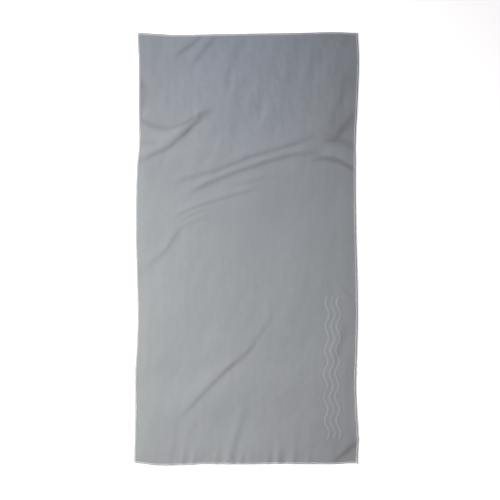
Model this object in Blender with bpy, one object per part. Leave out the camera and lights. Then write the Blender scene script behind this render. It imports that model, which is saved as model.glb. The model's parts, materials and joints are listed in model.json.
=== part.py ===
"""Quick-dry microfibre towel, laid out flat.

The towel lies on the XY plane with its long axis along Y, its face side up
(+Z) and its underside on z = 0.  The origin is under the towel's centre.

The cloth is one sheet on the real towel.  It is cut here at its three
crosswise folds, so that each quarter is a solid of its own which turns about
the fold's axis.  Every raw edge is held in an overlock seam: thread that
wraps the edge above, below and round the outside, so a seam is a C-shaped
channel with the pinched edge of the cloth in its slot.

Folding order: each end quarter folds over the middle quarter beside it, then
the lower half folds over the upper half.  A fold's axis stands above the
cloth by half of the stack that it closes over.
"""

import bpy
import bmesh
from mathutils import Vector

# ---------------------------------------------------------------- dimensions
MM = 0.001
WIDTH = 700 * MM            # edge to edge, seams included
LENGTH = 1370 * MM          # edge to edge, seams included
CLOTH_T = 0.9 * MM          # brushed microfibre, about 200 g/m2
GAP = 0.3 * MM              # clearance between neighbouring solids

SEAM_W = 4.5 * MM           # width of the overlock
SEAM_WALL = 0.3 * MM        # one layer of looper thread
SEAM_END = 0.5 * MM         # thread bundle round the raw edge
PINCH_T = 0.3 * MM          # cloth squeezed inside the overlock
SEAM_T = 2 * SEAM_WALL + PINCH_T + 2 * GAP

END_FOLD_Y = LENGTH / 4 + 4 * MM    # where the end quarters fold
END_FOLD_Z = 5 * MM                 # axis height of the end folds
HALF_FOLD_Z = 11 * MM               # axis height of the fold in half

LABEL_W = 20 * MM           # care label, along the seam
LABEL_L = 38 * MM           # how far it reaches under the cloth
LABEL_T = 0.25 * MM         # satin tape, folded double
LABEL_Y = -560 * MM         # centre of the label along the left edge
LABEL_POCKET = 0.3 * MM + LABEL_T   # how far the cloth stands over the label

# x and y of the cloth's full-thickness part, and of its pinched edge
MAIN_X = WIDTH / 2 - SEAM_W - GAP
MAIN_Y = LENGTH / 2 - SEAM_W - GAP
EDGE_X = WIDTH / 2 - SEAM_END - GAP
EDGE_Y = LENGTH / 2 - SEAM_END - GAP
PINCH_Z = CLOTH_T - PINCH_T

# ------------------------------------------------------------------- set-up
for old in list(bpy.data.objects):
    bpy.data.objects.remove(old)


def make_material(name, colour, roughness, sheen=0.0):
    material = bpy.data.materials.new(name)
    material.use_nodes = True
    shader = material.node_tree.nodes["Principled BSDF"]
    shader.inputs["Base Color"].default_value = (*colour, 1.0)
    shader.inputs["Roughness"].default_value = roughness
    shader.inputs["Metallic"].default_value = 0.0
    shader.inputs["Sheen Weight"].default_value = sheen
    return material


CLOTH = make_material("microfibre", (0.30, 0.315, 0.335), 0.9, 0.3)
THREAD = make_material("overlock_thread", (0.47, 0.46, 0.45), 0.75)
SATIN = make_material("label_satin", (0.78, 0.78, 0.76), 0.45)


def fold_empty(name, y, z):
    """The axis of a fold: its empty stands on the axis, which runs along X."""
    empty = bpy.data.objects.new(name, None)
    empty.empty_display_size = 0.05
    bpy.context.scene.collection.objects.link(empty)
    empty.location = (0.0, y, z)
    return empty


def add_object(name, bm, material, parent):
    """An object whose origin is its parent fold's axis, or the towel's origin."""
    origin = parent.matrix_world.translation if parent else Vector((0, 0, 0))
    bmesh.ops.translate(bm, verts=bm.verts, vec=-origin)
    bmesh.ops.recalc_face_normals(bm, faces=bm.faces)
    mesh = bpy.data.meshes.new(name)
    bm.to_mesh(mesh)
    bm.free()
    mesh.materials.append(material)
    obj = bpy.data.objects.new(name, mesh)
    bpy.context.scene.collection.objects.link(obj)
    if parent:
        obj.parent = parent
    return obj


def loop_prism(bm, profile, along, start, stop):
    """A closed profile in (across, z), extruded from start to stop.

    along is "y" for a profile in X and Z, or "x" for one in Y and Z.
    Returns the vertices at the two ends.
    """
    def place(across, z, run):
        return (across, run, z) if along == "y" else (run, across, z)

    first = [bm.verts.new(place(a, z, start)) for a, z in profile]
    last = [bm.verts.new(place(a, z, stop)) for a, z in profile]
    count = len(profile)
    for i in range(count):
        j = (i + 1) % count
        bm.faces.new((first[i], first[j], last[j], last[i]))
    return first, last


def seam_profile(side, edge):
    """Overlock channel round an edge at side * edge, open towards the cloth."""
    outer, inner = side * edge, side * (edge - SEAM_W)
    slot = side * (edge - SEAM_END)
    return [
        (inner, 0.0), (outer, 0.0), (outer, SEAM_T), (inner, SEAM_T),
        (inner, SEAM_T - SEAM_WALL), (slot, SEAM_T - SEAM_WALL),
        (slot, SEAM_WALL), (inner, SEAM_WALL),
    ]


def make_seam(name, side, along, edge, start, stop, parent):
    bm = bmesh.new()
    first, last = loop_prism(bm, seam_profile(side, edge), along, start, stop)
    bm.faces.new(first)
    bm.faces.new(list(reversed(last)))
    return add_object(name, bm, THREAD, parent)


def make_panel(name, fold_lo, fold_hi, end, parent):
    """One quarter of the cloth, between y = fold_lo and y = fold_hi.

    end is +1 or -1 where that side is an end of the towel, whose edge is
    pinched in a seam, or 0 where both sides are folds.
    """
    profile = [
        (-MAIN_X, 0.0), (MAIN_X, 0.0), (MAIN_X, PINCH_Z), (EDGE_X, PINCH_Z),
        (EDGE_X, CLOTH_T), (-EDGE_X, CLOTH_T), (-EDGE_X, PINCH_Z),
        (-MAIN_X, PINCH_Z),
    ]
    lo = fold_lo + GAP / 2 if end >= 0 else -MAIN_Y
    hi = fold_hi - GAP / 2 if end <= 0 else MAIN_Y
    bm = bmesh.new()
    first, last = loop_prism(bm, profile, "y", lo, hi)
    for verts, is_end, out in ((first, end < 0, -1), (last, end > 0, +1)):
        if not is_end:
            bm.faces.new(verts)
            continue
        body = [verts[0], verts[1], verts[2], verts[7]]
        pinch = [verts[7], verts[2], verts[3], verts[4], verts[5], verts[6]]
        bm.faces.new(body)
        reach = EDGE_Y - MAIN_Y
        moved = [bm.verts.new(v.co + Vector((0, out * reach, 0))) for v in pinch]
        for i in range(len(pinch)):
            j = (i + 1) % len(pinch)
            bm.faces.new((pinch[i], pinch[j], moved[j], moved[i]))
        bm.faces.new(moved)
    return add_object(name, bm, CLOTH, parent)


def make_block(name, low, high, material, parent):
    bm = bmesh.new()
    bmesh.ops.create_cube(bm, size=1.0)
    low, high = Vector(low), Vector(high)
    size, centre = high - low, (high + low) / 2
    for v in bm.verts:
        v.co = Vector(a * b + c for a, b, c in zip(v.co, size, centre))
    return add_object(name, bm, material, parent)


# ------------------------------------------------------------- the fold axes
half_fold = fold_empty("axis_half_fold", 0.0, HALF_FOLD_Z)
top_fold = fold_empty("axis_top_end_fold", END_FOLD_Y, END_FOLD_Z)
bottom_fold = fold_empty("axis_bottom_end_fold", -END_FOLD_Y, END_FOLD_Z)
bpy.context.view_layer.update()

# --------------------------------------------------------------- the towel
QUARTERS = (
    # name, from, to, which end, fold that carries it
    ("top_end", END_FOLD_Y, LENGTH / 2, +1, top_fold),
    ("upper_middle", 0.0, END_FOLD_Y, 0, None),
    ("lower_middle", -END_FOLD_Y, 0.0, 0, half_fold),
    ("bottom_end", -LENGTH / 2, -END_FOLD_Y, -1, bottom_fold),
)

panels = {}
for quarter, y_lo, y_hi, end, carrier in QUARTERS:
    panels[quarter] = make_panel(f"cloth_{quarter}", y_lo, y_hi, end, carrier)
    run_lo = y_lo if end < 0 else y_lo + GAP / 2
    run_hi = y_hi if end > 0 else y_hi - GAP / 2
    for side, word in ((-1, "left"), (+1, "right")):
        make_seam(f"{word}_seam_{quarter}", side, "y", WIDTH / 2,
                  run_lo, run_hi, carrier)

CROSS_SEAM_X = WIDTH / 2 - SEAM_W - GAP
make_seam("top_seam", +1, "x", LENGTH / 2, -CROSS_SEAM_X, CROSS_SEAM_X, top_fold)
make_seam("bottom_seam", -1, "x", LENGTH / 2, -CROSS_SEAM_X, CROSS_SEAM_X,
          bottom_fold)

# The care label is caught in the left seam and lies flat under the cloth,
# which stands over it in a shallow hollow.
label_low = (-MAIN_X, LABEL_Y - LABEL_W / 2, 0.0)
label_high = (-MAIN_X + LABEL_L, LABEL_Y + LABEL_W / 2, LABEL_T)
make_block("care_label", label_low, label_high, SATIN, bottom_fold)

hollow = make_block(
    "label_hollow",
    (-MAIN_X - 1 * MM, label_low[1] - GAP, -1 * MM),
    (label_high[0] + GAP, label_high[1] + GAP, LABEL_POCKET),
    SATIN, bottom_fold)
hollow.hide_render = True
hollow.display_type = "WIRE"
cut = panels["bottom_end"].modifiers.new("label_hollow", "BOOLEAN")
cut.operation = "DIFFERENCE"
cut.object = hollow
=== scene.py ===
"""Looks of the quick dry towel: one thin suede-microfibre sheet with folds and
creases, an overlocked edge sewn with real thread, and a blank care label.

The sheet is described once, as a height and outline over the flat towel
(u across, v along, in millimetres), and everything - cloth, thread, label -
is laid on that one description, so that all of it stays together.
"""

import json
import math

import bpy
import numpy as np
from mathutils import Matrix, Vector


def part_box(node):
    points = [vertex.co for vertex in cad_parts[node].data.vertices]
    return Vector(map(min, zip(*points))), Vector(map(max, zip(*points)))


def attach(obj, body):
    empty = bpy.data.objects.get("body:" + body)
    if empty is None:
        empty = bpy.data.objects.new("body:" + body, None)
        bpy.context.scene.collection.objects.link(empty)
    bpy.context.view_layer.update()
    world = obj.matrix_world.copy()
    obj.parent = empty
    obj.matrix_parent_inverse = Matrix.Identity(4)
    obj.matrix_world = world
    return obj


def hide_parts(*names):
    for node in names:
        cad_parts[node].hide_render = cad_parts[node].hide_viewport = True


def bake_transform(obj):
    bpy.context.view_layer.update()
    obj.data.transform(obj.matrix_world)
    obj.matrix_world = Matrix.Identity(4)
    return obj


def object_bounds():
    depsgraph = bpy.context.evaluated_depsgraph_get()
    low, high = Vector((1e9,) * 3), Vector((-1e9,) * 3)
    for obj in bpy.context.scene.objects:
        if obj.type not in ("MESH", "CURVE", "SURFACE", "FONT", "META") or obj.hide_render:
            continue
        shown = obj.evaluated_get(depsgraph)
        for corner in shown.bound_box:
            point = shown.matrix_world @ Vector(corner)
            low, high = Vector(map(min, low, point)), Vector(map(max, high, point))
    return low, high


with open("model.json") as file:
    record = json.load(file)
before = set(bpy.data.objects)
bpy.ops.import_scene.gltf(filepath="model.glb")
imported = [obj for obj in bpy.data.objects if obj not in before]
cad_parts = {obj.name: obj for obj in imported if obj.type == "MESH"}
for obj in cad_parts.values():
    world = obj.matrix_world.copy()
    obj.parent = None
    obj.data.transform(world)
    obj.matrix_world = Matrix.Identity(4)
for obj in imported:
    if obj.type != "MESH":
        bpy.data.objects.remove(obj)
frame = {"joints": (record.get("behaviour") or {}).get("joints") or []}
cad_lo, cad_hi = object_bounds()

MM = 0.001
U0, U1 = cad_lo.x / MM, cad_hi.x / MM  # the towel's long edges
V0, V1 = cad_lo.y / MM, cad_hi.y / MM  # its short edges
JOINT = {j["name"]: j for j in frame["joints"]}
TOP_FOLD = JOINT["top_end_fold"]["pos_m"][1] / MM
HALF_FOLD = JOINT["half_fold"]["pos_m"][1] / MM
BOTTOM_FOLD = JOINT["bottom_end_fold"]["pos_m"][1] / MM
END_BEND = 5.0  # half the length of cloth that bends at an end fold
HALF_BEND = 10.0  # and at the half fold
UPPER_JOIN = 173.0  # where the sheet's pieces meet, in parts that never bend
LOWER_JOIN = -100.0

CLOTH_T = 0.9  # thickness of the cloth
HEM_T = 0.5  # squeezed inside the overlock
LIFT = 0.45  # the thread under the edge holds the cloth this far off the floor
SEAM_W = 5.8  # width of the overlock
SEAM_DEPTH = {"left": 5.7, "right": 5.9, "top": 6.4, "bottom": 5.2}  # as sewn on each side
PITCH = 1.8  # one overlock stitch
SEED = 7


# ------------------------------------------------------------------ helpers


def ramp(a, b, x):
    t = np.clip((x - a) / (b - a), 0, 1)
    return t * t * (3 - 2 * t)


def spline(points):
    """A smooth curve through (position, value) pairs, as a function."""
    xs, ys = np.array(points, float).T
    m = np.gradient(ys, xs)

    def f(x):
        x = np.clip(x, xs[0], xs[-1])
        i = np.clip(np.searchsorted(xs, x) - 1, 0, len(xs) - 2)
        h = xs[i + 1] - xs[i]
        t = (x - xs[i]) / h
        return (
            (2 * t**3 - 3 * t**2 + 1) * ys[i]
            + (t**3 - 2 * t**2 + t) * h * m[i]
            + (3 * t**2 - 2 * t**3) * ys[i + 1]
            + (t**3 - t**2) * h * m[i + 1]
        )

    return f


def trace(points, step=3.0):
    """A smooth line through given points: samples, tangents, and share of its length."""
    p = np.array(points, float)
    e = np.vstack([2 * p[0] - p[1], p, 2 * p[-1] - p[-2]])
    out = []
    for i in range(1, len(e) - 2):
        a, b, c, d = e[i - 1 : i + 3]
        n = max(2, int(np.linalg.norm(c - b) / step))
        t = (np.arange(n) / n)[:, None]
        out.append(
            0.5
            * (
                2 * b
                + (c - a) * t
                + (2 * a - 5 * b + 4 * c - d) * t**2
                + (3 * b - a - 3 * c + d) * t**3
            )
        )
    q = np.vstack(out + [p[-1:]])
    tangent = np.gradient(q, axis=0)
    tangent /= np.linalg.norm(tangent, axis=1)[:, None]
    run = np.concatenate([[0], np.cumsum(np.linalg.norm(np.diff(q, axis=0), axis=1))])
    return q, tangent, run / run[-1]


class Waves:
    """Smooth random undulation: a sum of plane waves with seeded directions."""

    def __init__(self, seed, size, count=14, spread=0.45, stretch=(1.0, 1.0)):
        r = np.random.default_rng(seed)
        a = r.uniform(0, 2 * math.pi, count)
        k = 2 * math.pi / (size * r.uniform(1 - spread, 1 + spread, count))
        self.kx, self.ky = k * np.cos(a) / stretch[0], k * np.sin(a) / stretch[1]
        self.ph = r.uniform(0, 2 * math.pi, count)
        self.n = count

    def __call__(self, u, v):
        z = np.zeros_like(u, float)
        for kx, ky, ph in zip(self.kx, self.ky, self.ph):
            z += np.sin(kx * u + ky * v + ph)
        return z / math.sqrt(self.n / 2)


# ---------------------------------------------------------- how it has fallen

# The outline, as the edges' offsets from a straight rectangle (mm).
LEFT = spline([(-685, -9.5), (-655, -9.1), (-579, -7.7), (-502, -6.3), (-426, -7.2), (-387, -6.2), (-311, -1.5), (-234, 1.1), (-158, 0.3), (-82, -1.8), (33, -4.3), (148, -4.0), (263, -0.3), (330, 6.0), (415, 5.1), (492, 5.1), (607, 4.7), (655, 2.8), (685, 2.2)])
RIGHT = spline([(-685, 2.4), (-655, 3.5), (-617, 5.6), (-579, 3.8), (-502, -0.5), (-426, -2.5), (-387, -1.5), (-311, 1.0), (-234, 2.9), (-158, 2.6), (-82, 1.4), (33, -1.8), (148, -3.6), (263, -3.9), (339, -3.7), (415, -0.3), (492, 3.4), (607, 6.4), (685, 2.7)])
TOP = spline([(-350, 2.3), (-322, 0.6), (-245, -4.2), (-130, -3.5), (-16, -1.1), (99, 0.2), (175, 1.7), (252, 3.6), (290, 3.5), (328, 2.1), (350, 1.2)])
BOTTOM = spline([(-350, 3.3), (-322, -0.4), (-283, -4.9), (-207, -5.0), (-130, -1.6), (-60, -2.0), (22, -1.8), (99, -0.8), (214, -1.5), (290, -1.0), (328, 1.6), (350, 0.6)])

# Each fold: the line it follows, then
#   step:   the cloth rises to a crest and drops away on the side named by `away`
#   groove: a pressed-in line with soft shoulders
#   swell:  a soft raised ridge
# High and low are heights in mm; sharp, near and far are widths in mm; the shading value is painted shade that
# darkens the colour along the line, and painted light where it is negative; ends says which ends fade out (1) or
# run off (0).
FOLDS = []


def fold(kind, line, **k):
    q, tangent, share = trace(line)
    normal = np.stack([tangent[:, 1], -tangent[:, 0]], 1)
    if "away" in k and (normal.mean(0) @ np.array(k["away"], float)) < 0:
        normal = -normal
    ends = k.get("ends", (1, 1))
    fade = k.get("fade", 0.3)
    amp = np.ones(len(q))
    if ends[0]:
        amp *= ramp(0, fade, share)
    if ends[1]:
        amp *= ramp(0, fade, 1 - share)
    if "amp" in k:
        amp *= np.interp(share, np.linspace(0, 1, len(k["amp"])), k["amp"])
    FOLDS.append(dict(k, kind=kind, q=q, t=tangent, n=normal, a=amp))


# top left: two creases running in from the top edge, and a soft ridge beside them
fold("step", [(-146, 690), (-161, 670), (-192, 646), (-224, 622), (-246, 602)], away=(1, -1), high=1.7, low=0.9, sharp=7, near=16, far=14, tone=0.04, ends=(0, 1), fade=0.35, amp=(1.1, 1.1, 0.9, 0.85))
fold("step", [(-99, 694), (-111, 669), (-140, 636), (-165, 605), (-180, 586)], away=(1, -1), high=1.3, low=0.9, sharp=7, near=14, far=14, tone=0.04, ends=(0, 1), fade=0.32)
fold("step", [(-32, 676), (-44, 640), (-57, 588), (-75, 526), (-88, 488)], away=(1, 0), high=1.1, low=0.4, sharp=11, near=16, far=18)
# left edge: a swag over a strong diagonal fold, and the soft bulge between them
fold("groove", [(-356, 423), (-329, 403), (-285, 388), (-245, 385), (-197, 401), (-150, 430), (-126, 445), (-108, 454)], high=0.4, low=1.5, sharp=6, near=13, tone=0.14, ends=(0, 1), fade=0.2, amp=(1, 1.1, 0.8, 0.7, 0.6))
fold("step", [(-356, 262), (-333, 282), (-301, 301), (-253, 329), (-197, 377), (-150, 422), (-110, 449), (-88, 466)], away=(1, -1), high=2.1, low=1.1, sharp=6.8, near=17, far=15, tone=0.08, ends=(0, 1), fade=0.22, amp=(0.6, 0.8, 1.0, 1.0, 0.75))
fold("swell", [(-330, 350), (-285, 352), (-240, 366), (-180, 402)], high=1.5, sharp=12, tone=-0.05, ends=(1, 1))
fold("groove", [(-344, 552), (-333, 520), (-325, 490), (-332, 458), (-349, 436)], high=0.1, low=0.8, sharp=7, near=14, tone=0.12, ends=(1, 0))
fold("groove", [(-346, 560), (-342, 512), (-341, 480), (-342, 446)], high=0.0, low=0.2, sharp=5, near=10, tone=0.09)
fold("groove", [(-350, 331), (-329, 333), (-300, 335), (-276, 337)], high=0.2, low=0.8, sharp=5, near=9, tone=0.07, ends=(0, 1))
# the long pair of folds across the upper middle, up to the right edge
fold("step", [(-258, 203), (-226, 214), (-184, 229), (-147, 240), (-112, 246), (-70, 261), (11, 292), (90, 315), (154, 334), (206, 351), (250, 363)], away=(0.4, -1), high=1.6, low=1.1, sharp=7, near=15, far=12, tone=0.04, fade=0.15, amp=(0.5, 0.6, 0.75, 0.95, 1, 1.1, 1.0))
fold("step", [(-190, 178), (-166, 189), (-110, 214), (-46, 240), (26, 264), (89, 284), (153, 298), (225, 303), (262, 304)], away=(0.4, -1), high=2.0, low=1.0, sharp=7, near=13, far=15, tone=0.05, fade=0.13, amp=(0.9, 1, 0.95, 1, 0.9))
fold("step", [(-66, 194), (-48, 200), (26, 217), (96, 231), (124, 236)], away=(0.4, -1), high=0.9, low=0.5, sharp=6, near=12, far=10, tone=0.02, amp=(0.6, 1, 0.9))
fold("step", [(220, 328), (239, 335), (258, 346), (277, 355), (296, 368), (317, 390), (342, 417), (361, 441)], away=(1, -1), high=1.8, low=0.9, sharp=11, near=24, far=18, tone=0.035, ends=(1, 0), fade=0.2)
fold("groove", [(254, 342), (272, 339), (300, 339), (318, 336), (336, 327), (356, 314)], high=0.8, low=2.1, sharp=7, near=13, tone=0.16, ends=(1, 0))
fold("groove", [(192, 273), (211, 277), (250, 281), (288, 278), (312, 271), (336, 258), (356, 244)], high=0.9, low=2.2, sharp=5, near=10, tone=0.18, ends=(1, 0), amp=(0.4, 0.7, 1.4, 1.55, 1.4))
fold("swell", [(228, 313), (290, 303), (345, 278)], high=1.9, sharp=10, tone=-0.06, ends=(1, 0))
# below them, two finer creases that turn down into a fold to the left edge
fold("step", [(-238, 99), (-219, 109), (-174, 129), (-117, 149), (-68, 163), (-20, 176), (28, 187), (62, 194)], away=(0.4, -1), high=0.9, low=0.6, sharp=5.5, near=12, far=10, tone=0.02, fade=0.2, amp=(0.9, 1.2, 1.15, 1, 1))
fold("step", [(-218, 55), (-206, 67), (-187, 80), (-158, 92), (-126, 103), (-98, 109)], away=(0.4, -1), high=0.6, low=0.3, sharp=5, near=8, far=12, tone=0.02, amp=(1, 1, 0.8, 0.5))
fold("step", [(-215, 87), (-178, 109), (-137, 125), (-105, 129), (-72, 127)], away=(0.3, -1), high=0.65, low=0.35, sharp=4.5, near=8, far=8, tone=0.02)
fold("step", [(-186, 74), (-205, 68), (-217, 59), (-233, 31), (-252, 2), (-269, -16), (-297, -40), (-337, -75), (-356, -91)], away=(1, -0.7), high=1.1, low=0.4, sharp=6.5, near=16, far=14, tone=0.03, ends=(1, 0), fade=0.25, amp=(1, 1, 1, 0.4, 0.3))
# right edge, upper part: it rolls down softly
fold("step", [(284, 562), (290, 520), (294, 480), (290, 440), (270, 398)], away=(1, 0.2), high=0.8, low=0.5, sharp=14, near=22, far=24, amp=(0.9, 1, 0.9, 0.5, 0.2))
fold("swell", [(18, 364), (56, 413), (94, 466)], high=1.2, sharp=12)
fold("swell", [(218, 354), (250, 390), (266, 446)], high=1.1, sharp=13)
# lower half: one strong diagonal crease and a ridge beside it down to the hem
fold("step", [(118, -160), (87, -205), (43, -268), (0, -332), (-47, -372), (-95, -420), (-143, -468), (-190, -518), (-226, -556)], away=(1, -1), high=1.5, low=0.8, sharp=6.0, near=20, far=16, tone=0.035, fade=0.2, amp=(0.12, 0.3, 0.98, 0.9, 0.85))
fold("step", [(-212, -532), (-219, -560), (-225, -595), (-230, -649), (-233, -690)], away=(1, 0), high=0.5, low=0.3, sharp=7, near=12, far=12, ends=(1, 0))
fold("step", [(15, -470), (5, -499), (-11, -547), (-32, -610), (-43, -666), (-47, -694)], away=(1, 0), high=1.2, low=0.5, sharp=11, near=17, far=18, ends=(1, 0), fade=0.4, amp=(0.8, 1.0, 1.2))
fold("step", [(361, -604), (343, -622), (315, -646), (283, -673), (261, -696)], away=(1, -1), high=1.2, low=0.7, sharp=6.5, near=18, far=14, tone=0.05, ends=(0, 0))
fold("step", [(306, -220), (303, -265), (298, -300), (284, -350), (278, -380)], away=(1, 0), high=1.0, low=0.5, sharp=12, near=20, far=22, tone=0.03)
fold("groove", [(300, -119), (312, -130), (335, -152), (354, -169)], high=0.4, low=0.7, sharp=6, near=10, tone=0.03, ends=(1, 0))
fold("step", [(-222, -316), (-250, -341), (-285, -371), (-318, -398), (-338, -414)], away=(1, -1), high=0.35, low=0.2, sharp=8, near=16, far=14, tone=0.01)

# Small puckers that the stitching pulls into the short hems: place, width, height, reach, lean.
BOTTOM_PUCKERS = [(-247, 6, 1.1, 20, 0.0), (-223, 6, 1.0, 20, 0.1), (-201, 6, 2.2, 24, 0.1), (-167, 7, 3.1, 20, 0.15), (-119, 6, 1.1, 17, 0.2), (-96, 7, 2.2, 28, 0.15), (-56, 8, 2.6, 24, 0.1), (-17, 6, 1.6, 20, 0.1), (12, 5, 1.2, 20, 0.1), (66, 6, 1.4, 20, 0.0), (83, 6, -1.7, 20, 0.0), (100, 6, 2.2, 24, 0.0), (120, 6, -1.7, 21, 0.05), (148, 9, 2.8, 34, 0.05), (193, 6, 1.2, 16, 0.0), (268, 8, 1.0, 20, 0.0)]

# Patches of painted shade, and painted light where the value is negative: centre, two radii, how much darker.
PAINTED_SHADE_PATCHES = [(322, -648, 62, 50, 0.10), (298, 392, 40, 52, 0.09), (238, 400, 50, 60, 0.04), (302, 520, 44, 64, 0.06), (252, -580, 110, 110, 0.05), (-318, 590, 60, 120, 0.08), (-195, 385, 40, 26, 0.05), (-312, 262, 34, 34, 0.05), (330, 425, 50, 110, 0.04), (-60, -600, 190, 80, -0.03), (-20, 330, 190, 60, -0.03), (-140, 640, 150, 60, 0.03)]

broad = Waves(SEED, 260, 12)
middle = Waves(SEED + 1, 95, 16, stretch=(0.8, 1.3))
small = Waves(SEED + 2, 34, 18, stretch=(0.8, 1.4))
gather = Waves(SEED + 3, 16, 10)

# The pressed pattern: three plain parallel ripples near the right edge of the lower half.
PRESS_U, PRESS_V0, PRESS_V1 = 271.0, -604.0, -154.0
PRESS_GAP, PRESS_W, PRESS_SWAY, PRESS_LENGTH = 18.0, 6.0, 6.0, 75.0
LABEL_LO, LABEL_HI = (np.array(c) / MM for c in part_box("care_label"))


def creases(u, v):
    """Height and painted shade (painted light where negative) of every fold at flat points u, v (mm)."""
    z, tone = np.zeros_like(u), np.zeros_like(u)
    for f in FOLDS:
        reach = 3.2 * max(f.get("near", 0), f.get("far", 0), f["sharp"] * 1.6)
        lo, hi = f["q"].min(0) - reach, f["q"].max(0) + reach
        idx = np.nonzero((u > lo[0]) & (u < hi[0]) & (v > lo[1]) & (v < hi[1]))[0]
        for part in np.array_split(idx, max(1, len(idx) // 6000 + 1)):
            if not len(part):
                continue
            p = np.stack([u[part], v[part]], 1)
            k = (
                (p[:, None, 0] - f["q"][None, :, 0]) ** 2
                + (p[:, None, 1] - f["q"][None, :, 1]) ** 2
            ).argmin(1)
            rel = p - f["q"][k]
            d = (rel * f["n"][k]).sum(1)
            along = (rel * f["t"][k]).sum(1)
            a = f["a"][k] * np.exp(-((np.maximum(np.abs(along) - 2, 0) / 14) ** 2))
            s = f["sharp"]
            if f["kind"] == "step":
                side = 1 / (1 + np.exp(1.7 * d / s))
                h = f["high"] * side * np.exp(-(d**2) / (2 * f["near"] ** 2)) - f[
                    "low"
                ] * (1 - side) * np.exp(-(d**2) / (2 * f["far"] ** 2))
            elif f["kind"] == "groove":
                h = f["high"] * np.exp(-(d**2) / (2 * f["near"] ** 2)) - (
                    f["high"] + f["low"]
                ) * np.exp(-(d**2) / (2 * s**2))
            else:
                h = f["high"] * np.exp(-(d**2) / (2 * s**2))
            z[part] += a * h
            # painted shade along the fold's line, and painted light along the swells where the value is negative
            tone[part] += a * f.get("tone", 0) * np.exp(-(d**2) / (2 * (1.25 * s) ** 2))
    return z, tone


def ripples(u, v):
    """How far inside a pressed line each point is: 1 on it, 0 off it, and the halo round it."""
    line, halo = np.zeros_like(u), np.zeros_like(u)
    for k in (-1, 0, 1):
        centre = PRESS_U + k * PRESS_GAP + PRESS_SWAY * np.sin(
            2 * math.pi * (v - PRESS_V0) / PRESS_LENGTH
        )
        slope = PRESS_SWAY * 2 * math.pi / PRESS_LENGTH * np.cos(
            2 * math.pi * (v - PRESS_V0) / PRESS_LENGTH
        )
        d = np.abs(u - centre) / np.sqrt(1 + slope**2)
        over = np.maximum(np.maximum(PRESS_V0 - v, v - PRESS_V1), 0)
        d = np.hypot(d, over)
        line = np.maximum(line, 1 - ramp(PRESS_W / 2 - 0.9, PRESS_W / 2 + 0.9, d))
        halo = np.maximum(halo, np.exp(-(((d - PRESS_W / 2 - 1.6) / 1.8) ** 2)))
    return line, halo


def edge_distance(u, v):
    return np.minimum(np.minimum(u - U0, U1 - u), np.minimum(v - V0, V1 - v))


def sheet(u, v):
    """The cloth over flat points u, v (mm): x, y, its underside's z, its thickness, and the masks."""
    u, v = np.asarray(u, float).ravel(), np.asarray(v, float).ravel()
    uc, vc = np.clip(u, U0, U1), np.clip(v, V0, V1)
    s, t = (uc - U0) / (U1 - U0), (vc - V0) / (V1 - V0)
    edge = np.maximum(edge_distance(uc, vc), 0)
    hem = np.exp(-edge / 9.0)
    x = u + LEFT(vc) * (1 - s) + RIGHT(vc) * s + hem * 0.12 * gather(vc, uc)
    y = v + BOTTOM(uc) * (1 - t) + TOP(uc) * t + hem * 0.12 * gather(uc, vc + 99)
    z, tone = creases(uc, vc)
    # patches of painted shade darken the colour, and paint light where their value is negative
    for cu, cv, ru, rv, darker in PAINTED_SHADE_PATCHES:
        tone += darker * np.exp(-(((uc - cu) / ru) ** 2) - ((vc - cv) / rv) ** 2)
    busy = 0.6 + 0.35 * ramp(150, 420, vc)
    busy = busy + 0.8 * np.exp(-(((uc - 60) / 300) ** 2) - ((vc - 500) / 200) ** 2)
    z += 0.45 * broad(uc, vc) + busy * (0.16 * middle(uc, vc) + 0.09 * small(uc, vc))
    for place, width, high, reach, lean in BOTTOM_PUCKERS:
        h = vc - V0
        z += high * np.exp(-(((uc - place - lean * h) / width) ** 2) / 2) * np.exp(-h / reach)
    # the stitching pulls the edge up into fine ripples
    z += (0.09 + 0.16 * np.exp(-(vc - V0) / 12.0)) * np.exp(-edge / 14.0) * gather(uc, vc)
    # it lies flatter where it was folded in its pack
    for place, width in ((TOP_FOLD, 9), (HALF_FOLD, 16), (BOTTOM_FOLD, 9)):
        z *= 1 - 0.35 * np.exp(-(((vc - place) / width) ** 2))
    # soft limit: nothing sinks below the thread's lift or stands over 4 mm
    z = z + 1.5
    z = np.where(z > 0, z, 0) + 0.35 * np.log1p(np.exp(-np.abs(z) / 0.35))
    z = z * (1 + (z / 4.0) ** 4) ** -0.25
    z *= 0.6 + 0.4 * ramp(0, 40, edge)
    # and the tight overlock makes the very edge curl up a little, more on some sides
    z += LIFT
    for gap, at, curl, width in (
        (uc - U0, 0.0, 0.25, 5.5),
        (U1 - uc, 3.3, 0.55, 2.4),
        (vc - V0, 0.0, 0.05, 5.5),
        (V1 - vc, 0.0, -0.3, 5.5),
    ):
        z += curl * np.exp(-(((gap - at) / width) ** 2)) * (1 + 0.25 * gather(uc * 0.4, vc * 0.4))
    line, halo = ripples(uc, vc)
    z += 0.30 * line
    thick = HEM_T + (CLOTH_T - HEM_T) * ramp(SEAM_W - 1.2, SEAM_W + 1.2, edge)
    thick = thick - 0.10 * line
    return x, y, z, thick, tone, line, halo


# ----------------------------------------------------------------- the cloth


def lines(lo, hi, step, fine, must):
    """Grid positions from lo to hi: step apart, finer in the ranges of fine, and always at must."""
    out = [lo]
    while out[-1] < hi - 1e-6:
        here = out[-1]
        d = min([step] + [f for a, b, f in fine if a - 1e-6 <= here < b - 1e-6])
        nxt = here + d
        for stop in sorted([m for m in must] + [a for a, b, f in fine] + [hi]):
            if here + 1e-6 < stop < nxt + 0.35 * d:
                nxt = stop
                break
        out.append(nxt)
    return np.array(out)


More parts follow.
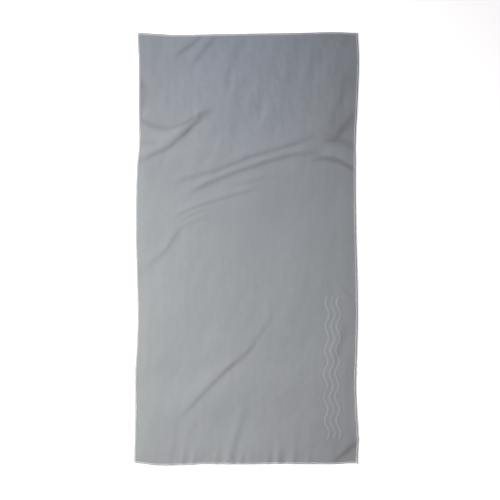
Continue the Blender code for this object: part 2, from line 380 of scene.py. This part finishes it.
cols = lines(
    U0,
    U1,
    3.5,
    [
        (U0, U0 + 8, 1.6),
        (PRESS_U - 30, PRESS_U + 30, 1.25),
        (U1 - 8, U1, 1.6),
    ],
    [],
)
rows = lines(
    V0,
    V1,
    3.5,
    [
        (V0, V0 + 8, 1.6),
        (BOTTOM_FOLD - END_BEND - 1, BOTTOM_FOLD + END_BEND + 1, 0.75),
        (HALF_FOLD - HALF_BEND - 1, HALF_FOLD + HALF_BEND + 1, 1.25),
        (TOP_FOLD - END_BEND - 1, TOP_FOLD + END_BEND + 1, 0.75),
        (V1 - 8, V1, 1.6),
    ],
    [LOWER_JOIN, UPPER_JOIN],
)
gu, gv = np.meshgrid(cols, rows)
shape = gu.shape
gx, gy, gz, gt, gtone, gline, ghalo = (a.reshape(shape) for a in sheet(gu, gv))
under = np.stack([gx, gy, gz], -1) * MM
over = np.stack([gx, gy, gz + gt], -1) * MM


def grid_normals(p):
    du, dv = np.gradient(p, axis=1), np.gradient(p, axis=0)
    n = np.cross(du, dv)
    return n / np.linalg.norm(n, axis=-1)[..., None]


over_n, under_n = grid_normals(over), -grid_normals(under)


def new_mesh(name, verts, faces, smooth=True):
    """A mesh object from an array of points and arrays of faces (one array per face size)."""
    me = bpy.data.meshes.new(name)
    faces = [np.asarray(f, np.int32) for f in faces if len(f)]
    total = sum(f.size for f in faces)
    count = sum(len(f) for f in faces)
    me.vertices.add(len(verts))
    me.vertices.foreach_set("co", np.asarray(verts, np.float32).ravel())
    me.loops.add(total)
    me.loops.foreach_set("vertex_index", np.concatenate([f.ravel() for f in faces]))
    me.polygons.add(count)
    sizes = np.concatenate([np.full(len(f), f.shape[1]) for f in faces])
    me.polygons.foreach_set(
        "loop_start", np.concatenate([[0], np.cumsum(sizes)[:-1]]).astype(np.int32)
    )
    me.update(calc_edges=True)
    me.validate()
    me.polygons.foreach_set("use_smooth", np.full(count, smooth))
    ob = bpy.data.objects.new(name, me)
    bpy.context.scene.collection.objects.link(ob)
    return ob


def sheet_piece(name, lo, hi):
    """The closed piece of cloth between two grid rows, with the whole sheet's own normals."""
    i0, i1 = (int(np.abs(rows - r).argmin()) for r in (lo, hi))
    r, c = i1 - i0 + 1, len(cols)
    cut = slice(i0, i1 + 1)
    verts = np.concatenate([over[cut].reshape(-1, 3), under[cut].reshape(-1, 3)])
    k = np.arange(r * c).reshape(r, c)
    a, b, d, e = k[:-1, :-1], k[:-1, 1:], k[1:, 1:], k[1:, :-1]
    top = np.stack([a, b, d, e], -1).reshape(-1, 4)
    bottom = top[:, ::-1] + r * c
    walls = []
    for ring in (k[0, :], k[:, -1], k[-1, ::-1], k[::-1, 0]):
        p, q = ring[:-1], ring[1:]
        walls.append(np.stack([p, p + r * c, q + r * c, q], -1))
    walls = np.concatenate(walls)
    ob = new_mesh(name, verts, [top, bottom, walls])
    me = ob.data
    n_over, n_under = over_n[cut].reshape(-1, 3), under_n[cut].reshape(-1, 3)
    normals = [n_over[top.ravel()], n_under[bottom.ravel() - r * c]]
    w = np.cross(
        verts[walls[:, 1]] - verts[walls[:, 0]], verts[walls[:, 3]] - verts[walls[:, 0]]
    )
    w /= np.maximum(np.linalg.norm(w, axis=1), 1e-12)[:, None]
    normals.append(np.repeat(w, 4, axis=0))
    me.normals_split_custom_set(np.concatenate(normals).astype(np.float32))
    flat = np.stack([gu[cut], gv[cut], np.zeros((r, c))], -1).reshape(-1, 3)
    flat = np.concatenate([flat, flat + (0, 0, 50)])
    at = me.attributes.new("flat", "FLOAT_VECTOR", "POINT")
    at.data.foreach_set("vector", flat.astype(np.float32).ravel())
    # the painted shade and painted light of folds and patches go to the material here, beside the pressed pattern's
    # masks
    for key, values in (("tone", gtone), ("pressed", gline), ("halo", ghalo)):
        both = np.tile(values[cut].ravel(), 2)
        me.attributes.new(key, "FLOAT", "POINT").data.foreach_set(
            "value", both.astype(np.float32)
        )
    return ob


# ----------------------------------------------------------------- the thread


def tube(path, radius, sides=5):
    """Points, faces and per-corner (length, turn) of a closed round thread along path (mm)."""
    p = np.asarray(path, float)
    t = np.gradient(p, axis=0)
    t /= np.linalg.norm(t, axis=1)[:, None]
    n = len(p)
    ref = np.zeros((n, 3))
    r = np.array([0.0, 0.0, 1.0])
    if abs(t[0] @ r) > 0.9:
        r = np.array([1.0, 0.0, 0.0])
    for i in range(n):
        r = r - (r @ t[i]) * t[i]
        r /= math.sqrt(r @ r)
        ref[i] = r
    other = np.cross(t, ref)
    ang = np.arange(sides) / sides * 2 * math.pi
    radius = np.broadcast_to(radius, (n,))
    verts = (
        p[:, None]
        + radius[:, None, None]
        * (
            np.cos(ang)[None, :, None] * ref[:, None]
            + np.sin(ang)[None, :, None] * other[:, None]
        )
    ).reshape(-1, 3)
    i, j = np.meshgrid(np.arange(n - 1), np.arange(sides), indexing="ij")
    j2 = (j + 1) % sides
    quads = np.stack(
        [i * sides + j, i * sides + j2, (i + 1) * sides + j2, (i + 1) * sides + j], -1
    ).reshape(-1, 4)
    run = np.concatenate([[0], np.cumsum(np.linalg.norm(np.diff(p, axis=0), axis=1))])
    jj = j.ravel() / sides
    uv = np.stack(
        [
            np.stack([run[i.ravel()], jj], -1),
            np.stack([run[i.ravel()], jj + 1 / sides], -1),
            np.stack([run[i.ravel() + 1], jj + 1 / sides], -1),
            np.stack([run[i.ravel() + 1], jj], -1),
        ],
        1,
    ).reshape(-1, 2)
    caps = np.stack([np.arange(sides)[::-1], np.arange(sides) + (n - 1) * sides])
    return verts, quads, uv, caps


class Edge:
    """One side of the towel: turns (along, inward, height over the cloth's underside) into space."""

    def __init__(self, side):
        self.side = side

    def place(self, s, t, h):
        s, t, h = (np.asarray(a, float) for a in (s, t, h))
        if self.side == "left":
            u, v = U0 + t, s
        elif self.side == "right":
            u, v = U1 - t, s
        elif self.side == "top":
            u, v = s, V1 - t
        else:
            u, v = s, V0 + t
        x, y, z = sheet(u, v)[:3]
        return np.stack([x, y, z + h], -1)


def overlock(name, side, lo, hi, join):
    """The stitches of one length of edge: two looper threads that wrap it, and the needle line."""
    e = Edge(side)
    depth = SEAM_DEPTH[side]
    count = max(1, round((hi - lo) / PITCH))
    pitch = (hi - lo) / count
    r = np.random.default_rng(SEED + len(name))
    uneven = r.uniform(-1, 1, count + 2)

    def beats(step):
        ph = np.arange(count * step + 1) / step
        return ph, np.interp(ph, np.arange(count + 2), uneven)

    paths = []
    # upper looper: over the top from the needle line to the edge and back, leaning along the seam
    ph, wob = beats(8)
    t = -0.12 + (depth - 0.55 + 0.16 * wob) * (0.5 + 0.5 * np.cos(2 * math.pi * ph))
    s = lo + pitch * (ph + 0.16 * np.sin(2 * math.pi * ph))
    h = HEM_T + 0.26 - 0.42 * np.exp(-np.maximum(t, 0) / 0.55) + 0.04 * wob
    paths.append((e.place(s, t, h), 0.37, 5))
    # under looper: the same on the underside, half a stitch later
    t = -0.12 + (depth - 0.7 + 0.12 * wob) * (0.5 - 0.5 * np.cos(2 * math.pi * ph))
    s = lo + pitch * (ph + 0.16 * np.sin(2 * math.pi * ph + math.pi))
    h = -0.11 + 0.50 * np.exp(-np.maximum(t, 0) / 0.55)
    paths.append((e.place(s, t, h), 0.31, 5))
    # a chain of loops locks the two along the very edge
    ph, wob = beats(8)
    t = -0.26 + 0.18 * np.cos(4 * math.pi * ph)
    h = 0.30 + 0.26 * np.sin(4 * math.pi * ph)
    paths.append((e.place(lo + pitch * ph, t, h), 0.30, 4))
    # needle thread: short straight stitches that dip where the needle went in
    ph, wob = beats(4)
    h = HEM_T + 0.36 + 0.14 * np.abs(np.sin(math.pi * ph))
    paths.append((e.place(lo + pitch * ph, depth - 0.7 + 0.05 * wob, h), 0.24, 4))
    all_v, all_f, all_uv, base = [], [], [], 0
    for path, radius, sides in paths:
        v, q, uv, caps = tube(path, radius, sides)
        all_v.append(v)
        all_f += [q + base] + [c[None] + base for c in caps]
        all_uv += [uv, np.zeros((caps.size, 2))]
        base += len(v)
    ob = new_mesh(name, np.concatenate(all_v) * MM, all_f)
    uvs = np.concatenate(all_uv)
    layer = ob.data.uv_layers.new(name="thread")
    layer.data.foreach_set("uv", uvs.astype(np.float32).ravel())
    return ob


def thread_tail(name, corner, direction):
    """The few millimetres of twisted chain left at a corner when the overlock is cut."""
    x, y, z = (float(a[0]) for a in sheet([corner[0]], [corner[1]])[:3])
    d = np.array([*direction, 0.0])
    d /= np.linalg.norm(d)
    side = np.array([-d[1], d[0], 0.0])
    length = 6.5
    k = np.linspace(0, 1, 34)
    all_v, all_f, all_c, all_uv, base = [], [], [], [], 0
    for strand in range(3):
        a = 2 * math.pi * (strand / 3 + 1.6 * k)
        bow = 0.9 * np.sin(math.pi * k * 0.8)
        r = 0.42 * (1 - 0.35 * k)
        path = (
            np.array([x, y, z + 0.3])
            + d * (length * k - 2.6)[:, None]
            + side * (bow + r * np.cos(a))[:, None]
            + np.array([0, 0, 1.0]) * (r * np.sin(a) + 0.25 - 0.35 * k)[:, None]
        )
        v, q, uv, caps = tube(path, 0.27 * (1 - 0.3 * k))
        all_v.append(v)
        all_f.append(q + base)
        all_c.append(caps + base)
        all_uv.append(uv)
        base += len(v)
    ob = new_mesh(
        name,
        np.concatenate(all_v) * MM,
        [np.concatenate(all_f), np.concatenate(all_c)],
    )
    uvs = np.concatenate(all_uv + [np.zeros((sum(c.size for c in all_c), 2))])
    ob.data.uv_layers.new(name="thread").data.foreach_set(
        "uv", uvs.astype(np.float32).ravel()
    )
    return ob


# ----------------------------------------------------------------- the label


def care_tape():
    """A blank woven satin tape, heat-cut at its free end, with raised selvedges."""
    lo, hi = LABEL_LO, LABEL_HI
    nu, nv = 29, 47
    us, vs = np.linspace(lo[0], hi[0], nu), np.linspace(lo[1], hi[1], nv)
    a, b = np.meshgrid(us, vs)
    q = np.minimum(b - lo[1], hi[1] - b)
    selvedge = np.exp(-(((q - 0.9) / 0.5) ** 2))
    cut = np.exp(-(hi[0] - a) / 0.35)
    z = 0.05 + 0.03 * np.sin(a * 0.55 + 1) * np.sin(b * 0.31)
    x, y = sheet(a, b)[:2]
    x, y = x.reshape(a.shape), y.reshape(a.shape)
    low = np.stack([x, y, np.maximum(z - 0.01 * selvedge, 0.01)], -1)
    high = np.stack([x, y, z + 0.17 + 0.05 * selvedge + 0.03 * cut], -1)
    k = np.arange(nu * nv).reshape(nv, nu)
    top = np.stack([k[:-1, :-1], k[:-1, 1:], k[1:, 1:], k[1:, :-1]], -1).reshape(-1, 4)
    walls = []
    for ring in (k[0, :], k[:, -1], k[-1, ::-1], k[::-1, 0]):
        p, r = ring[:-1], ring[1:]
        walls.append(np.stack([p, p + nu * nv, r + nu * nv, r], -1))
    verts = np.concatenate([high.reshape(-1, 3), low.reshape(-1, 3)]) * MM
    ob = new_mesh("care_label_tape", verts, [top, top[:, ::-1] + nu * nv, np.concatenate(walls)])
    ob.data.set_sharp_from_angle(angle=math.radians(50))
    flat = np.stack([a, b, np.zeros_like(a)], -1).reshape(-1, 3)
    at = ob.data.attributes.new("flat", "FLOAT_VECTOR", "POINT")
    at.data.foreach_set("vector", np.tile(flat, (2, 1)).astype(np.float32).ravel())
    return ob


# ------------------------------------------------------------------ materials


class Nodes:
    """Short words for building a node tree."""

    def __init__(self, name):
        self.mat = bpy.data.materials.new(name)
        self.mat.use_nodes = True
        self.tree = self.mat.node_tree
        self.bsdf = self.tree.nodes["Principled BSDF"]

    def put(self, socket, value):
        if isinstance(value, bpy.types.NodeSocket):
            self.tree.links.new(value, socket)
        else:
            socket.default_value = value

    def add(self, kind, **inputs):
        n = self.tree.nodes.new(kind)
        return n

    def math(self, op, a, b=0.0, c=0.0):
        n = self.tree.nodes.new("ShaderNodeMath")
        n.operation = op
        self.put(n.inputs[0], a)
        self.put(n.inputs[1], b)
        self.put(n.inputs[2], c)
        return n.outputs[0]

    def attribute(self, name, vector=False):
        n = self.tree.nodes.new("ShaderNodeAttribute")
        n.attribute_type = "GEOMETRY"
        n.attribute_name = name
        return n.outputs["Vector"] if vector else n.outputs["Fac"]

    def scaled(self, vector, scale, turn=0.0):
        n = self.tree.nodes.new("ShaderNodeMapping")
        self.put(n.inputs["Vector"], vector)
        n.inputs["Scale"].default_value = scale
        n.inputs["Rotation"].default_value = (0, 0, turn)
        return n.outputs[0]

    def noise(self, vector, scale=1.0, detail=3.0, rough=0.55, distort=0.0):
        n = self.tree.nodes.new("ShaderNodeTexNoise")
        self.put(n.inputs["Vector"], vector)
        n.inputs["Scale"].default_value = scale
        n.inputs["Detail"].default_value = detail
        n.inputs["Roughness"].default_value = rough
        n.inputs["Distortion"].default_value = distort
        return n.outputs[0]

    def wave(self, vector, scale, distort=0.0, direction="X", detail=0.0):
        n = self.tree.nodes.new("ShaderNodeTexWave")
        n.wave_type = "BANDS"
        n.bands_direction = direction
        self.put(n.inputs["Vector"], vector)
        n.inputs["Scale"].default_value = scale
        n.inputs["Distortion"].default_value = distort
        n.inputs["Detail"].default_value = detail
        return n.outputs["Fac"]

    def tint(self, colour, factor):
        n = self.tree.nodes.new("ShaderNodeVectorMath")
        n.operation = "SCALE"
        self.put(n.inputs[0], colour)
        self.put(n.inputs["Scale"], factor)
        return n.outputs[0]

    def between(self, a, b, factor):
        n = self.tree.nodes.new("ShaderNodeMix")
        n.data_type = "RGBA"
        self.put(n.inputs["Factor"], factor)
        self.put(n.inputs[6], (*a, 1) if isinstance(a, tuple) else a)
        self.put(n.inputs[7], (*b, 1) if isinstance(b, tuple) else b)
        return n.outputs[2]

    def bump(self, height, distance, strength=1.0, normal=None):
        n = self.tree.nodes.new("ShaderNodeBump")
        self.put(n.inputs["Height"], height)
        n.inputs["Distance"].default_value = distance
        n.inputs["Strength"].default_value = strength
        if normal is not None:
            self.put(n.inputs["Normal"], normal)
        return n.outputs[0]


def microfibre():
    """Brushed suede microfibre: short soft nap with stroke marks, over a fine knit."""
    m = Nodes("suede_microfibre")
    flat = m.attribute("flat", vector=True)
    tone, pressed, halo = (m.attribute(k) for k in ("tone", "pressed", "halo"))
    cloud = m.noise(flat, 0.012, 3.0, 0.5)
    patch = m.noise(m.scaled(flat, (0.07, 0.045, 0.06), 0.35), 1.0, 3.0, 0.55)
    mottle = m.noise(m.scaled(flat, (0.22, 0.15, 0.2), 0.2), 1.0, 2.0, 0.5)
    stroke = m.noise(m.scaled(flat, (0.30, 0.035, 0.2), 0.06), 1.0, 3.0, 0.6, 0.3)
    nap = m.noise(flat, 0.9, 4.0, 0.62)
    fibre = m.noise(m.scaled(flat, (5.5, 1.1, 3.0), 0.25), 1.0, 2.0, 0.7, 0.6)
    loops = m.wave(m.scaled(flat, (1, 1, 1)), 0.36, 1.6, "X", 2.0)
    courses = m.wave(m.scaled(flat, (1, 1, 1)), 0.30, 1.2, "Y", 2.0)
    # colour: the base, times small changes in how the nap lies, then the painted shade and painted light of folds
    # and patches, and the pressed pattern with its halo
    f = m.math("MULTIPLY_ADD", cloud, 0.05, 0.975)
    for value, share in ((patch, 0.09), (mottle, 0.07), (stroke, 0.035), (nap, 0.16), (fibre, 0.10)):
        f = m.math("MULTIPLY", f, m.math("MULTIPLY_ADD", value, share, 1 - share / 2))
    # painted shade darkens the colour along the folds and in the patches; negative values paint light
    f = m.math("MULTIPLY", f, m.math("SUBTRACT", 1.0, tone))
    f = m.math("MULTIPLY", f, m.math("MULTIPLY_ADD", pressed, 0.17, 1.0))
    f = m.math("MULTIPLY", f, m.math("MULTIPLY_ADD", halo, -0.07, 1.0))
    hue = m.between(CLOTH_WARM, CLOTH_COOL, m.math("MULTIPLY_ADD", patch, 1.6, -0.3))
    # and turns the hue toward the colour of the painted shade
    hue = m.between(hue, CLOTH_PAINTED_SHADE_HUE, m.math("MULTIPLY", tone, 3.2))
    m.put(m.bsdf.inputs["Base Color"], m.tint(hue, f))
    rough = m.math("MULTIPLY_ADD", nap, 0.12, 0.80)
    rough = m.math("MULTIPLY_ADD", pressed, -0.14, rough)
    m.put(m.bsdf.inputs["Roughness"], rough)
    m.bsdf.inputs["Specular IOR Level"].default_value = 0.22
    m.bsdf.inputs["Sheen Weight"].default_value = 0.22
    m.bsdf.inputs["Sheen Roughness"].default_value = 0.45
    m.bsdf.inputs["Sheen Tint"].default_value = (0.86, 0.93, 1.0, 1.0)
    soft = m.math("MULTIPLY_ADD", pressed, -0.7, 1.0)
    height = m.math("MULTIPLY", m.math("MULTIPLY_ADD", fibre, 0.5, nap), soft)
    knit = m.math("MULTIPLY", loops, courses)
    height = m.math("MULTIPLY_ADD", knit, 0.30, height)
    m.put(m.bsdf.inputs["Normal"], m.bump(height, 0.00022, 0.7))
    return m.mat


def overlock_thread():
    """Two-ply polyester overlock thread, warm grey, with a slight lustre."""
    m = Nodes("two_ply_thread")
    uv = m.tree.nodes.new("ShaderNodeUVMap")
    uv.uv_map = "thread"
    split = m.tree.nodes.new("ShaderNodeSeparateXYZ")
    m.put(split.inputs[0], uv.outputs[0])
    along, turn = split.outputs[0], split.outputs[1]
    ply = m.math("SINE", m.math("MULTIPLY", m.math("MULTIPLY_ADD", along, 0.9, m.math("MULTIPLY", turn, 2.0)), 2 * math.pi))
    ply = m.math("MULTIPLY_ADD", ply, 0.5, 0.5)
    strand = m.math("SINE", m.math("MULTIPLY", m.math("MULTIPLY_ADD", along, 2.1, m.math("MULTIPLY", turn, 9.0)), 2 * math.pi))
    fuzz = m.noise(uv.outputs[0], 3.0, 3.0, 0.6)
    slow = m.noise(uv.outputs[0], 0.05, 2.0, 0.5)
    f = m.math("MULTIPLY_ADD", ply, 0.22, 0.82)
    f = m.math("MULTIPLY", f, m.math("MULTIPLY_ADD", fuzz, 0.16, 0.92))
    f = m.math("MULTIPLY", f, m.math("MULTIPLY_ADD", slow, 0.12, 0.94))
    hue = m.between(THREAD_DARK, THREAD_LIGHT, ply)
    m.put(m.bsdf.inputs["Base Color"], m.tint(hue, f))
    m.put(m.bsdf.inputs["Roughness"], m.math("MULTIPLY_ADD", fuzz, 0.15, 0.50))
    m.bsdf.inputs["Specular IOR Level"].default_value = 0.4
    m.bsdf.inputs["Sheen Weight"].default_value = 0.15
    m.bsdf.inputs["Sheen Roughness"].default_value = 0.5
    height = m.math("MULTIPLY_ADD", strand, 0.12, ply)
    m.put(m.bsdf.inputs["Normal"], m.bump(height, 0.00006, 0.8))
    return m.mat


def satin():
    """Off-white woven satin: fine weft floats across the tape, and tighter selvedges."""
    m = Nodes("woven_satin_tape")
    flat = m.attribute("flat", vector=True)
    weft = m.wave(flat, 1.3, 0.4, "Y", 1.0)
    warp = m.wave(flat, 0.8, 0.6, "X", 1.0)
    slub = m.noise(m.scaled(flat, (0.15, 4.0, 1.0)), 1.0, 3.0, 0.6)
    f = m.math("MULTIPLY_ADD", weft, 0.08, 0.92)
    f = m.math("MULTIPLY", f, m.math("MULTIPLY_ADD", slub, 0.10, 0.94))
    m.put(m.bsdf.inputs["Base Color"], m.tint((0.76, 0.76, 0.735), f))
    m.put(m.bsdf.inputs["Roughness"], m.math("MULTIPLY_ADD", slub, 0.2, 0.28))
    m.bsdf.inputs["Specular IOR Level"].default_value = 0.55
    m.bsdf.inputs["Anisotropic"].default_value = 0.4
    height = m.math("MULTIPLY_ADD", warp, 0.35, weft)
    m.put(m.bsdf.inputs["Normal"], m.bump(height, 0.00004, 0.7))
    return m.mat


CLOTH_WARM, CLOTH_COOL = (0.318, 0.334, 0.352), (0.300, 0.328, 0.352)
# the hue the cloth takes under painted shade
CLOTH_PAINTED_SHADE_HUE = (0.326, 0.328, 0.346)
THREAD_DARK, THREAD_LIGHT = (0.77, 0.74, 0.73), (0.88, 0.855, 0.84)
CLOTH, THREAD, TAPE = microfibre(), overlock_thread(), satin()

# ------------------------------------------------------------------- assembly


def finish_piece(ob, material, stands_for):
    ob.data.materials.append(material)
    if stands_for:
        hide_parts(*stands_for)
    return ob


def bend_top(ob):
    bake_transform(ob)


def bend_half(ob):
    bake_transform(ob)


def bend_bottom(ob):
    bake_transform(ob)


SECTIONS = [
    ("top", UPPER_JOIN, V1, ("top_end", "upper_middle"), bend_top),
    ("middle", LOWER_JOIN, UPPER_JOIN, ("upper_middle", "lower_middle"), bend_half),
    ("bottom", V0, LOWER_JOIN, ("lower_middle", "bottom_end"), bend_bottom),
]
for part, lo, hi, stands, bend in SECTIONS:
    cloth = sheet_piece(f"towel_cloth_{part}", lo, hi)
    bend(finish_piece(cloth, CLOTH, [f"cloth_{n}" for n in stands]))
    for side in ("left", "right"):
        seam = overlock(f"overlock_{side}_{part}", side, lo, hi, None)
        bend(finish_piece(seam, THREAD, [f"{side}_seam_{n}" for n in stands]))

for side, body in (("top", "top_end"), ("bottom", "bottom_end")):
    seam = overlock(f"overlock_{side}_edge", side, U0, U1, None)
    finish_piece(seam, THREAD, [f"{side}_seam"])
    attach(seam, body)

for name, corner, out, body in (
    ("thread_tail_top_left", (U0, V1), (-0.5, 1.0), "top_end"),
    ("thread_tail_top_right", (U1, V1), (1.0, 0.5), "top_end"),
    ("thread_tail_bottom_left", (U0, V0), (-1.0, -0.3), "bottom_end"),
    ("thread_tail_bottom_right", (U1, V0), (0.2, -1.0), "bottom_end"),
):
    tail = finish_piece(thread_tail(name, corner, out), THREAD, None)
    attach(tail, body)

tape = finish_piece(care_tape(), TAPE, ["care_label"])
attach(tape, "bottom_end")

# ------------------------------------------------------------ floor and light


def area(name, place, aim, size, power, colour=(1, 1, 1), spread=180):
    data = bpy.data.lights.new(name, "AREA")
    data.shape = "RECTANGLE"
    data.size, data.size_y = size
    data.energy = power
    data.color = colour
    data.spread = math.radians(spread)
    ob = bpy.data.objects.new(name, data)
    ob.location = place
    d = np.array(aim, float) - np.array(place, float)
    from mathutils import Vector

    ob.rotation_mode = "QUATERNION"
    ob.rotation_quaternion = Vector(d).to_track_quat("-Z", "Y")
    bpy.context.scene.collection.objects.link(ob)
    return ob


floor = new_mesh(
    "floor",
    np.array([(-6, -6, -0.0002), (6, -6, -0.0002), (6, 6, -0.0002), (-6, 6, -0.0002)]),
    [[(0, 1, 2, 3)]],
)
paper = Nodes("white_paper")
grain = paper.noise(paper.tree.nodes.new("ShaderNodeTexCoord").outputs["Object"], 40.0, 4.0)
paper.put(paper.bsdf.inputs["Base Color"], paper.tint((0.86, 0.86, 0.86), paper.math("MULTIPLY_ADD", grain, 0.02, 0.99)))
paper.bsdf.inputs["Roughness"].default_value = 0.9
paper.bsdf.inputs["Specular IOR Level"].default_value = 0.1
paper.bsdf.inputs["Emission Color"].default_value = (1, 1, 1, 1)
paper.bsdf.inputs["Emission Strength"].default_value = 0.66
floor.data.materials.append(paper.mat)

world = bpy.data.worlds.new("studio")
world.use_nodes = True
world.node_tree.nodes["Background"].inputs["Color"].default_value = (1.0, 0.85, 0.98, 1)
world.node_tree.nodes["Background"].inputs["Strength"].default_value = 0.07
# seen beyond the edge of the floor the studio is pale, like the floor itself
tree = world.node_tree
pale = tree.nodes.new("ShaderNodeBackground")
pale.inputs["Color"].default_value = (0.72, 0.72, 0.72, 1)
either = tree.nodes.new("ShaderNodeMixShader")
tree.links.new(tree.nodes.new("ShaderNodeLightPath").outputs["Is Camera Ray"], either.inputs[0])
tree.links.new(tree.nodes["Background"].outputs[0], either.inputs[1])
tree.links.new(pale.outputs[0], either.inputs[2])
tree.links.new(either.outputs[0], tree.nodes["World Output"].inputs["Surface"])
bpy.context.scene.world = world

area("key_left", (-3.1, 1.1, 1.8), (-0.5, -0.42, 0.0), (0.85, 0.85), 41.2, (1.0, 0.968, 0.885), 66)
area("sky_back", (-0.5, 1.9, 1.1), (-0.15, 0.72, 0.0), (0.8, 0.8), 1.0, (0.28, 0.475, 0.87), 40)
area("fill_front", (0.0, -2.2, 1.6), (0.0, -0.6, 0.0), (1.2, 1.2), 1.6, (0.49, 0.53, 1.0), 80)

camera_data = bpy.data.cameras.new("camera")
camera_data.lens, camera_data.sensor_width = 85, 36
camera = bpy.data.objects.new("camera", camera_data)
camera.location = (0.0097, -0.005, 3.761)
bpy.context.scene.collection.objects.link(camera)
bpy.context.scene.camera = camera
bpy.context.scene.view_settings.view_transform = "Standard"

bpy.context.view_layer.update()
